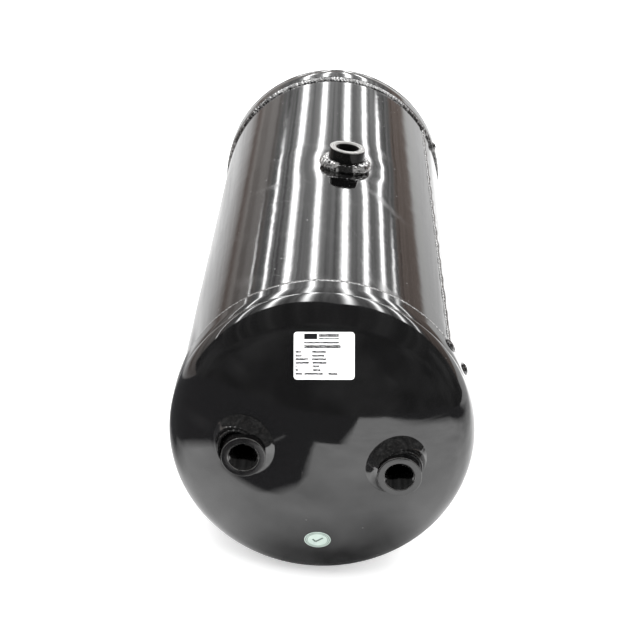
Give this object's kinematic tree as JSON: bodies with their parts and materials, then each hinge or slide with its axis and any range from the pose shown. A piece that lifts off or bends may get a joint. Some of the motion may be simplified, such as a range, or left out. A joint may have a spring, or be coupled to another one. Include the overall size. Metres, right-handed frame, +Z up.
{
  "type": "horizontal pressure tank",
  "caption": "Cylindrical welded steel air tank lying on its side, with dished heads lapped over a rolled shell, threaded port bosses on both heads and on top, in glossy black paint.",
  "frame": {"origin": "on the floor, under the middle of the tank", "axes": "+Y along the tank's axis, from the labelled head to the plain one; +Z up, along the top port"},
  "size_m": [0.246, 0.74, 0.2608],
  "materials": {
    "black_paint": "glossy black paint with light orange peel",
    "port_paint": "glossy black paint over turned steel",
    "weld_bead": "glossy black paint over rippled weld",
    "label_paper": "smooth white label film",
    "sticker_paper": "smooth pale green sticker"
  },
  "bodies": {
    "root": {"shell": "black_paint", "longitudinal_seam_weld": "weld_bead", "near_head": "black_paint", "far_head": "black_paint", "near_girth_weld": "weld_bead", "far_girth_weld": "weld_bead", "top_port_boss": "port_paint", "top_port_weld": "weld_bead", "near_left_port_boss": "port_paint", "near_left_port_weld": "weld_bead", "near_right_port_boss": "port_paint", "near_right_port_weld": "weld_bead", "far_left_port_boss": "port_paint", "far_left_port_weld": "weld_bead", "far_right_port_boss": "port_paint", "far_right_port_weld": "weld_bead", "rating_label": "label_paper", "inspection_sticker": "sticker_paper"}
  },
  "joints": []
}
